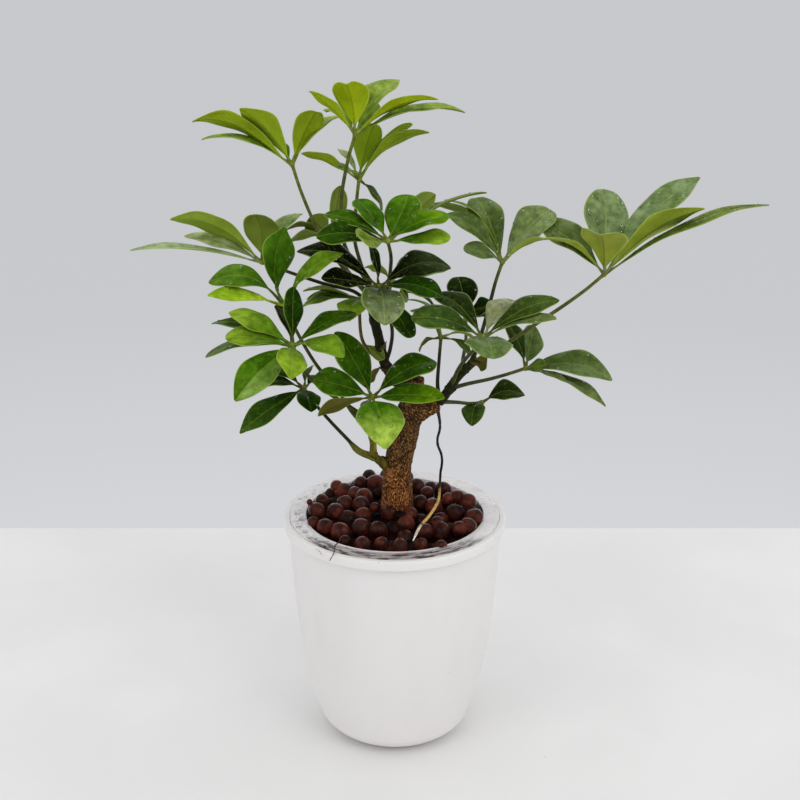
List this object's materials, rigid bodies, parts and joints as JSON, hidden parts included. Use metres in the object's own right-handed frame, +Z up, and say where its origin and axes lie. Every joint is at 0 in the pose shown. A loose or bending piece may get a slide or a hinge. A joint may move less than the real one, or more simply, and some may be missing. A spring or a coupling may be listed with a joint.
{
  "type": "potted schefflera",
  "caption": "Umbrella plant in clay balls: woody stem, green shoots and palmate leaves, in a clear liner hung in a white tapered pot.",
  "frame": {"origin": "centre of the pot's flat base, on the surface that the pot stands on", "axes": "+Z up along the pot's axis; -Y towards the viewer of the picture; +X to the viewer's right, where the long side branch reaches"},
  "size_m": [0.3816, 0.1791, 0.4242],
  "materials": {
    "pot": "satin",
    "liner": "gloss",
    "clay": "satin",
    "bark": "matte",
    "shoot": "satin",
    "root": "matte",
    "leaf": "gloss",
    "young_leaf": "satin"
  },
  "bodies": {
    "root": {"pot": "pot", "liner": "liner", "clay_balls": "clay", "trunk": "bark", "right_branch": "shoot", "centre_shoot": "shoot", "left_shoot": "shoot", "aerial_root": "root", "leaf_top": "young_leaf", "leaf_top_left": "young_leaf", "leaf_top_low": "young_leaf", "leaf_back_left": "leaf", "leaf_front_high": "leaf", "leaf_front_mid": "leaf", "leaf_inner": "leaf", "leaf_left_high": "leaf", "leaf_left_mid": "leaf", "leaf_left_front": "leaf", "leaf_left_low": "leaf", "leaf_front_low": "leaf", "leaf_right_far": "leaf", "leaf_right_high": "leaf", "leaf_right_front": "leaf", "leaf_right_mid": "leaf", "leaf_right_low": "leaf", "leaf_right_back": "leaf", "leaf_right_inner": "leaf", "leaf_back": "leaf"}
  },
  "joints": []
}
